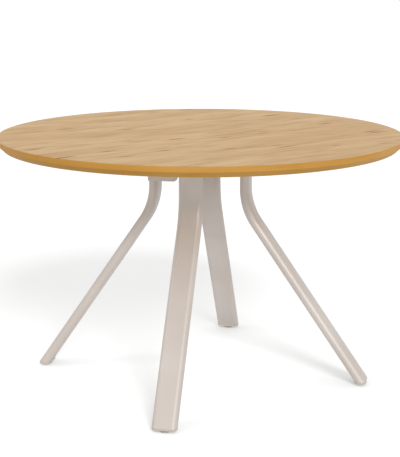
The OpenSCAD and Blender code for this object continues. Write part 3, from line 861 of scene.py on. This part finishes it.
root_radius = STUD_RADIUS - THREAD_DEPTH
stud_outline = soften([
    (TIP_MIDDLE, stud_low.z),
    (head_wide, stud_low.z),
    (head_wide, HEAD_TOP),
    (root_radius, HEAD_TOP),
    (root_radius, stud_high.z - TIP_CHAMFER),
    (root_radius - TIP_CHAMFER, stud_high.z),
    (TIP_MIDDLE, stud_high.z),
], STUD_EASE)
pad_radius = pad_high.x - glide_radius
pocket_radius = head_wide + SWIVEL_GAP
pocket_top = HEAD_TOP + SWIVEL_GAP
neck_radius = STUD_RADIUS + SWIVEL_GAP
pad_outline = soften([
    (TIP_MIDDLE, pad_low.z),
    (pad_radius, pad_low.z),
    (pad_radius, pad_high.z),
    (neck_radius, pad_high.z),
    (neck_radius, pocket_top),
    (pocket_radius, pocket_top),
    (pocket_radius, PAD_FLOOR),
    (TIP_MIDDLE, PAD_FLOOR),
], PAD_EASE)
thread_turns = math.floor((stud_high.z - HEAD_TOP - THREAD_PITCH) / THREAD_PITCH)
for side, degrees in SIDES.items():
    turn = math.radians(degrees)
    glide_at = (glide_radius * math.cos(turn), glide_radius * math.sin(turn))
    stud = lathe("glide_stud_" + side, stud_outline, STUD_STEPS, zinc, centre=glide_at)
    grow(
        stud, thread, Radius=STUD_RADIUS, Pitch=THREAD_PITCH, Turns=float(thread_turns),
        Depth=THREAD_DEPTH, Place=(*glide_at, HEAD_TOP + THREAD_PITCH / 2), Material=zinc)
    install(stud, "zinc_steel", "stud_" + side, body="screw_" + side)
    pad = lathe("glide_pad_" + side, pad_outline, PAD_STEPS, pad_plastic, centre=glide_at)
    install(pad, "pad_plastic", "pad_" + side, body="foot_" + side)

# Welds. Short beads of weld metal, painted over: along both flat sides of each leg's head under its
# plate, up the corners where the short bars meet the long one, and along the centre plate's edges.
BEAD_RADIUS = 0.0019
BEAD_PITCH = 0.0016
BEAD_STEP = 0.0004
BAR_WELD_SHORT = 0.003
PLATE_WELD_SHORT = 0.004

bead, bead_in, bead_out = shape_tree("weld_bead", {
    "Radius": 0.002, "Pitch": 0.002, "Step": 0.001, "Ripple": 0.22, "Waver": 0.0007})
bead_path = form(bead, "MeshToCurve", {"Mesh": bead_in["Geometry"]})
bead_path = form(bead, "ResampleCurve", {"Curve": bead_path, "Length": bead_in["Step"]}, mode="LENGTH")
bead_run = put(bead, "GeometryNodeSplineParameter")["Length"]
bead_whole = form(bead, "SplineLength")
bead_end = calc(bead, "MINIMUM", bead_run, calc(bead, "-", bead_whole, bead_run))
bead_taper = calc(bead, "SQRT", calc(bead, "/", bead_end, bead_in["Radius"], clamp=True))
bead_wave = calc(bead, "/", calc(bead, "*", bead_run, math.pi), bead_in["Pitch"])
bead_wave = calc(bead, "ABSOLUTE", calc(bead, "SINE", bead_wave))
bead_wave = calc(bead, "*", bead_wave, bead_in["Ripple"])
bead_swell = calc(bead, "+", bead_wave, 0.85)
bead_swell = calc(bead, "*", bead_swell, calc(bead, "MAXIMUM", bead_taper, 0.15))
bead_path = form(bead, "SetCurveRadius", {"Curve": bead_path, "Radius": bead_swell})
bead_ring = form(
    bead, "CurvePrimitiveCircle", {"Resolution": 12, "Radius": bead_in["Radius"]}, mode="RADIUS")
bead_mesh = form(
    bead, "CurveToMesh", {"Curve": bead_path, "Profile Curve": bead_ring, "Fill Caps": True})
bead_noise = {"Vector": form(bead, "InputPosition"), "Scale": 260.0, "Detail": 1.0}
bead_noise = put(bead, "ShaderNodeTexNoise", bead_noise)["Color"]
bead_shift = {0: bead_noise, 1: (0.5, 0.5, 0.5)}
bead_shift = put(bead, "ShaderNodeVectorMath", bead_shift, operation="SUBTRACT")[0]
bead_shift = {0: bead_shift, "Scale": bead_in["Waver"]}
bead_shift = put(bead, "ShaderNodeVectorMath", bead_shift, operation="SCALE")[0]
bead_mesh = form(bead, "SetPosition", {"Geometry": bead_mesh, "Offset": bead_shift})
end_tree(bead, bead_in, bead_out, bead_mesh)

sides, sides_in, sides_out = shape_tree(
    "set_on_four_sides", {"First": 0.1, "Step": 0.1, "Count": ("Int", 2)})
sides_start = xyz(sides, sides_in["First"], 0.0, 0.0)
sides_step = xyz(sides, sides_in["Step"], 0.0, 0.0)
sides_row = {"Count": sides_in["Count"], "Start Location": sides_start, "Offset": sides_step}
sides_row = form(sides, "MeshLine", sides_row, mode="OFFSET")
sides_one = form(sides, "InstanceOnPoints", {"Points": sides_row, "Instance": sides_in["Geometry"]})
sides_four = form(sides, "Points", {"Count": 4})
sides_turn = xyz(sides, 0.0, 0.0, calc(sides, "*", form(sides, "InputIndex"), math.pi / 2))
sides_all = {"Points": sides_four, "Instance": sides_one, "Rotation": sides_turn}
sides_all = form(sides, "InstanceOnPoints", sides_all)
end_tree(sides, sides_in, sides_out, sides_all)


def weld(name, start, end, first, step=0.0, count=1):
    """A bead from start to end, set in a row and then on all four sides."""
    run = make_object(name, [start, end], [(0, 1)], [])
    grow(run, bead, Radius=BEAD_RADIUS, Pitch=BEAD_PITCH, Step=BEAD_STEP, Material=paint)
    grow(run, sides, First=first, Step=step, Count=count, Material=paint)
    install(run, "greige_paint")


head_end = Vector((0, (TUBE_WIDE - TUBE_THICK) / 2, 0))
head_line = Vector((0, 0, leg_high.z))
head_flat = head_radius - TUBE_THICK / 2
weld("welds_of_heads", head_line - head_end, head_line + head_end, head_flat, TUBE_THICK, 2)
corner_low = (0, bar_high.y, bar_low.z + BAR_WELD_SHORT)
corner_high = (0, bar_high.y, bar_high.z - BAR_WELD_SHORT)
weld("welds_of_bars", corner_low, corner_high, bar_high.y)
plate_end = bar_high.y - PLATE_WELD_SHORT
plate_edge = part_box("centre_plate")[1].x
weld("welds_of_centre", (0, -plate_end, bar_low.z), (0, plate_end, bar_low.z), plate_edge)

# Bolts, screws and washers. Zinc-plated steel: two hexagon bolts hold each leg's plate up to its
# crossbar, and eight pan-head screws hold the crossbars to the top, each on a washer.
WASHER_THICK = 0.0016
WASHER_EASE = 0.0003
WASHER_STEPS = 36
BOLT_FLATS = 0.013
BOLT_HEAD = 0.0053
BOLT_FACE = BOLT_FLATS * 0.475
BOLT_COLLAR = BOLT_FLATS * 0.47
BOLT_RADIUS = 0.004
BOLT_TIP = 0.0008
BOLT_FIRST = 0.1025
BOLT_STEP = 0.072
BOLT_WASHER = (0.0044, 0.008)
PAN_HEAD = 0.004
PAN_SOCKET = 0.004
PAN_SOCKET_DEEP = 0.0024
PAN_SOFT = 0.0016
PAN_STEPS = 5
PAN_RADIUS = 0.006
SCREW_RADIUS = 0.003
SCREW_TIP = 0.0006
SCREW_FIRST = 0.235
SCREW_STEP = 0.080
SCREW_WASHER = (0.0034, 0.009)
RIM_LIP = 0.0002
SOCKET_EASE = 0.0003
SOCKET_FLARE = 0.0005
FASTENER_STEPS = 24
bolt_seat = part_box("leg_washers")[0].z
bolt_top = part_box("leg_bolts")[1].z
screw_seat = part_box("top_washers")[0].z
screw_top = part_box("top_screws")[1].z


def hexagon_ring(flats, z, chamfer_from=None):
    """A ring round a hexagon; its corners rise at 30 degrees past a chamfer's radius."""
    ring = []
    for step in range(FASTENER_STEPS):
        turn = math.tau * step / FASTENER_STEPS
        reach = flats / 2 / math.cos((turn + math.pi / 6) % (math.pi / 3) - math.pi / 6)
        lift = 0 if chamfer_from is None else (reach - chamfer_from) * math.tan(math.radians(30))
        ring.append(Vector((reach * math.cos(turn), reach * math.sin(turn), z + lift)))
    return ring


def round_rings(*sizes):
    """Level rings about the axis, each from its radius and height."""
    return [circle(radius, z, FASTENER_STEPS) for radius, z in sizes]


def bolt_rings(seat, top):
    """A hexagon bolt that points up from its seat, its head chamfered below."""
    face = seat - BOLT_HEAD
    rings = round_rings(
        (BOLT_FACE * 0.86, face + SOCKET_EASE), (BOLT_FACE * 0.92, face), (BOLT_FACE, face))
    rings.append(hexagon_ring(BOLT_FLATS, face, BOLT_FACE))
    rings.append(hexagon_ring(BOLT_FLATS, seat - 2 * RIM_LIP))
    return rings + round_rings(
        (BOLT_COLLAR, seat - RIM_LIP), (BOLT_COLLAR, seat), (BOLT_RADIUS, seat),
        (BOLT_RADIUS, top - BOLT_TIP), (BOLT_RADIUS - BOLT_TIP, top))


def pan_rings(seat, top, head):
    """A pan-head screw that points up from its seat, with a hexagon socket."""
    face = seat - head
    rings = [
        hexagon_ring(PAN_SOCKET, face + PAN_SOCKET_DEEP),
        hexagon_ring(PAN_SOCKET, face + SOCKET_EASE),
        hexagon_ring(PAN_SOCKET + SOCKET_FLARE, face),
    ]
    for step in range(PAN_STEPS + 1):
        turn = math.radians(90) * step / PAN_STEPS
        radius = PAN_RADIUS - PAN_SOFT * (1 - math.sin(turn))
        rings.append(circle(radius, face + PAN_SOFT * (1 - math.cos(turn)), FASTENER_STEPS))
    return rings + round_rings(
        (PAN_RADIUS, seat - RIM_LIP), (PAN_RADIUS - RIM_LIP, seat), (SCREW_RADIUS, seat),
        (SCREW_RADIUS, top - SCREW_TIP), (SCREW_RADIUS - SCREW_TIP, top))


def washer(name, low, bore, radius):
    """One flat washer at the axis, its edges rounded."""
    outline = [(bore, low), (radius, low), (radius, low + WASHER_THICK), (bore, low + WASHER_THICK)]
    return lathe(name, soften(outline, WASHER_EASE, True), WASHER_STEPS, zinc, loop=True)


def set_in_pairs(piece, first, step, node):
    """Sets two of a fastener on each of the four sides."""
    grow(piece, sides, First=first, Step=step, Count=2, Material=zinc)
    install(piece, "zinc_steel", node)


bolts = skin("bolts_of_legs", bolt_rings(bolt_seat, bolt_top), zinc)
set_in_pairs(bolts, BOLT_FIRST, BOLT_STEP, "leg_bolts")
bolt_washers = washer("washers_of_bolts", bolt_seat, *BOLT_WASHER)
set_in_pairs(bolt_washers, BOLT_FIRST, BOLT_STEP, "leg_washers")
screws = skin("screws_of_top", pan_rings(screw_seat, screw_top, PAN_HEAD), zinc)
set_in_pairs(screws, SCREW_FIRST, SCREW_STEP, "top_screws")
screw_washers = washer("washers_of_screws", screw_seat, *SCREW_WASHER)
set_in_pairs(screw_washers, SCREW_FIRST, SCREW_STEP, "top_washers")
refinish(zinc, "leg_nuts")

# Bracket. A cheek of 3 mm sheet steel beside the left leg's head, painted with the frame. Its tab is
# folded in under the crossbar. One pan-head screw holds the tab and two hold the cheek to the leg.
SHEET_THICK = 0.003
SHEET_FOLD = 0.0045
FOLD_STEPS = 7
CHEEK_CORNER = 0.015
TAB_CORNER = 0.003
TAB_WIDE = 0.022
RELIEF = 0.0015
SCREW_HEAD = 0.0033
SCREW_LENGTH = 0.016
SCREW_GAP = 0.026
ARC_STEPS = 6
bracket_low, bracket_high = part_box("leg_bracket")
hold_low, hold_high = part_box("bracket_screws")
tab_start = bracket_high.x - TAB_WIDE
fold_start = bracket_high.z - SHEET_FOLD
tab_end = fold_start + SHEET_FOLD * math.pi / 2 + bracket_high.y - bracket_low.y - SHEET_FOLD


def arc(x, z, radius, start):
    """A quarter circle of points in the sheet, from a start in degrees."""
    turns = [math.radians(start + 90 * step / ARC_STEPS) for step in range(ARC_STEPS + 1)]
    return [(x + radius * math.cos(turn), 0, z + radius * math.sin(turn)) for turn in turns]


def fold(place):
    """Where a point of the flat sheet goes: the tab is bent in, the rest stands upright."""
    depth = place.y
    turn = (place.z - fold_start) / SHEET_FOLD
    if place.x < tab_start - RELIEF / 2 or turn <= 0:
        return Vector((place.x, bracket_low.y + depth, place.z))
    if turn <= math.pi / 2:
        across = SHEET_FOLD - (SHEET_FOLD - depth) * math.cos(turn)
        rise = (SHEET_FOLD - depth) * math.sin(turn)
        return Vector((place.x, bracket_low.y + across, fold_start + rise))
    past = place.z - fold_start - SHEET_FOLD * math.pi / 2
    return Vector((place.x, bracket_low.y + SHEET_FOLD + past, bracket_high.z - depth))


sheet_line = arc(bracket_low.x + TAB_CORNER, bracket_low.z + TAB_CORNER, TAB_CORNER, 180)
sheet_line += arc(bracket_high.x - CHEEK_CORNER, bracket_low.z + CHEEK_CORNER, CHEEK_CORNER, 270)
sheet_line += arc(bracket_high.x - TAB_CORNER, tab_end - TAB_CORNER, TAB_CORNER, 0)
sheet_line += arc(tab_start + TAB_CORNER, tab_end - TAB_CORNER, TAB_CORNER, 90)
sheet_line.append((tab_start, 0, fold_start))
sheet_line.append((tab_start - RELIEF, 0, fold_start))
sheet_line.append((tab_start - RELIEF, 0, bracket_high.z))
sheet_line += arc(bracket_low.x + TAB_CORNER, bracket_high.z - TAB_CORNER, TAB_CORNER, 90)

sheet = bmesh.new()
sheet_face = sheet.faces.new([sheet.verts.new(point) for point in sheet_line])
sheet_back = bmesh.ops.extrude_face_region(sheet, geom=[sheet_face])["geom"]
for part in sheet_back:
    if isinstance(part, bmesh.types.BMVert):
        part.co.y += SHEET_THICK
sheet_edges = []
for edge in sheet.edges:
    if abs(edge.verts[0].co.y - edge.verts[1].co.y) < SHEET_THICK / 2:
        sheet_edges.append(edge)
bmesh.ops.bevel(sheet, geom=sheet_edges, offset=STEEL_EASE, segments=2, profile=0.5, affect="EDGES")
for step in range(-1, FOLD_STEPS + 2):
    cut = fold_start + SHEET_FOLD * math.pi / 2 * step / FOLD_STEPS
    parts = sheet.verts[:] + sheet.edges[:] + sheet.faces[:]
    bmesh.ops.bisect_plane(sheet, geom=parts, plane_co=(0, 0, cut), plane_no=(0, 0, 1))
for point in sheet.verts:
    point.co = fold(point.co.copy())
bracket = finish_shape("folded_bracket", sheet, paint)
install(bracket, "greige_paint", "leg_bracket")


def set_screw(seat, up):
    """A short pan-head screw with its seat at a place, pointing up or in towards the leg."""
    screw = skin("screw", pan_rings(0, SCREW_LENGTH, SCREW_HEAD), zinc)
    if not up:
        screw.data.transform(Matrix.Rotation(math.radians(-90), 4, "X"))
    screw.data.transform(Matrix.Translation(seat))
    return screw


def join(name, material, parts):
    """One object from several."""
    shape = bmesh.new()
    for part in parts:
        shape.from_mesh(part.data)
        bpy.data.objects.remove(part)
    return finish_shape(name, shape, material)


tab_at = Vector((hold_high.x - PAN_RADIUS, hold_high.y - PAN_RADIUS, bracket_high.z - SHEET_THICK))
low_at = Vector((hold_low.x + PAN_RADIUS, bracket_low.y, hold_low.z + PAN_RADIUS))
high_at = low_at + Vector((0, 0, SCREW_GAP))
holders = [set_screw(tab_at, True), set_screw(low_at, False), set_screw(high_at, False)]
install(join("screws_of_bracket", zinc, holders), "zinc_steel", "bracket_screws")
